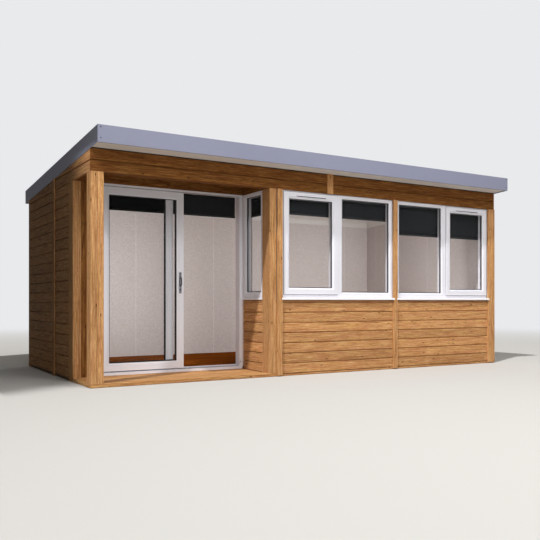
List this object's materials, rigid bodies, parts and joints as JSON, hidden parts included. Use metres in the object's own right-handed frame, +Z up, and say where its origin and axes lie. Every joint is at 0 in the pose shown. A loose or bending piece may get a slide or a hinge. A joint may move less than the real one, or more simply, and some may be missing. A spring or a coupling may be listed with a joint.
{
  "type": "garden office pod",
  "caption": "Timber-clad garden room with a low sloping roof, recessed corner porch, sliding glazed patio door, large windows and roller blinds.",
  "frame": {"origin": "ground level under the middle of the walls, on the underside of the base bearers", "axes": "+X along the front towards the window end, +Y from the front to the back, +Z up"},
  "size_m": [5.628, 3.158, 2.5001],
  "materials": {
    "rough_timber": "rough sawn",
    "floor_wood": "satin lacquer",
    "deck_wood": "oiled, sawn",
    "cladding_wood": "oiled, fine sawn",
    "trim_wood": "oiled, planed",
    "wall_lining": "satin wall panel",
    "ceiling_lining": "satin",
    "roof_membrane": "matt",
    "fascia_metal": "satin paint",
    "soffit_board": "matt",
    "glass": "clear",
    "handle_plastic": "satin white",
    "roller_nylon": "moulded",
    "blind_fabric": "woven",
    "blind_metal": "matt paint",
    "white_upvc": "satin moulded"
  },
  "bodies": {
    "root": {"back_cladding": "cladding_wood", "back_fascia": "fascia_metal", "back_strips": "trim_wood", "back_wall": "wall_lining", "base_bearers": "rough_timber", "beam_strip": "trim_wood", "blind_bars": "blind_metal", "blind_cassettes": "blind_metal", "blind_sheets": "blind_fabric", "coving": "wall_lining", "door_fixed_glass": "glass", "door_fixed_panel": "white_upvc", "door_frame": "white_upvc", "door_side_boards": "cladding_wood", "door_side_wall": "wall_lining", "floor_boards": "floor_wood", "floor_panel": "rough_timber", "front_battens": "trim_wood", "front_beam": "cladding_wood", "front_cladding": "cladding_wood", "front_fascia": "fascia_metal", "front_wall": "wall_lining", "left_cladding": "cladding_wood", "left_corner_post": "trim_wood", "left_fascia": "fascia_metal", "left_wall": "wall_lining", "porch_deck": "deck_wood", "porch_deck_frame": "deck_wood", "porch_post": "trim_wood", "recess_corner_post": "trim_wood", "recess_headers": "cladding_wood", "return_cladding": "cladding_wood", "return_wall": "wall_lining", "return_window_frame": "white_upvc", "right_cladding": "cladding_wood", "right_fascia": "fascia_metal", "right_wall": "wall_lining", "roof_membrane": "roof_membrane", "roof_panel": "ceiling_lining", "side_beam": "cladding_wood", "side_strips": "trim_wood", "soffits": "soffit_board", "trickle_vents": "white_upvc", "wall_posts": "wall_lining", "window_glass": "glass", "window_left_frame": "white_upvc", "window_right_frame": "white_upvc", "window_sashes": "white_upvc", "window_sills": "white_upvc"},
    "sliding_door": {"door_sliding_panel": "white_upvc", "door_sliding_glass": "glass", "door_rollers": "roller_nylon", "door_outer_handle": "handle_plastic", "door_inner_handle": "handle_plastic"}
  },
  "joints": [
    {"name": "door_slide", "type": "slide", "parent": "root", "child": "sliding_door", "axis": [1, 0, 0], "range_m": [0, 0.708]}
  ]
}
